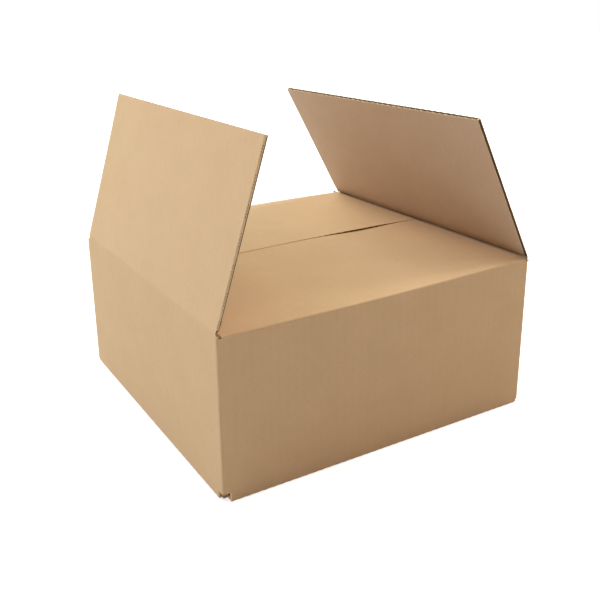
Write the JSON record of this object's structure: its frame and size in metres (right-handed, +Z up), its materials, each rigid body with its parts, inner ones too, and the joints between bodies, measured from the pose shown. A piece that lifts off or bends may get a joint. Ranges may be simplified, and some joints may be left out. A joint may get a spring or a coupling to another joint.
{
  "type": "corrugated cardboard box",
  "caption": "Slotted corrugated box on its base, front and rear top flaps folded shut, left and right top flaps raised on their creases",
  "frame": {"origin": "centre of the bottom face, on the surface that the box stands on", "axes": "+Z up, +X along the front wall from the left raised flap to the right one, +Y from the front wall to the rear wall"},
  "size_m": [0.264, 0.251, 0.2418],
  "materials": {
    "board": "matte"
  },
  "bodies": {
    "carton": {"carton": "board"},
    "left_flap": {"left_flap": "board"},
    "right_flap": {"right_flap": "board"}
  },
  "joints": [
    {"name": "left_crease", "type": "hinge", "parent": "carton", "child": "left_flap", "pos_m": [-0.13215, 0, 0.12365], "axis": [0, 1, 0], "range_deg": [-168.3, 70.7]},
    {"name": "right_crease", "type": "hinge", "parent": "carton", "child": "right_flap", "pos_m": [0.13215, 0, 0.12365], "axis": [0, -1, 0], "range_deg": [-177.9, 61.1]}
  ]
}
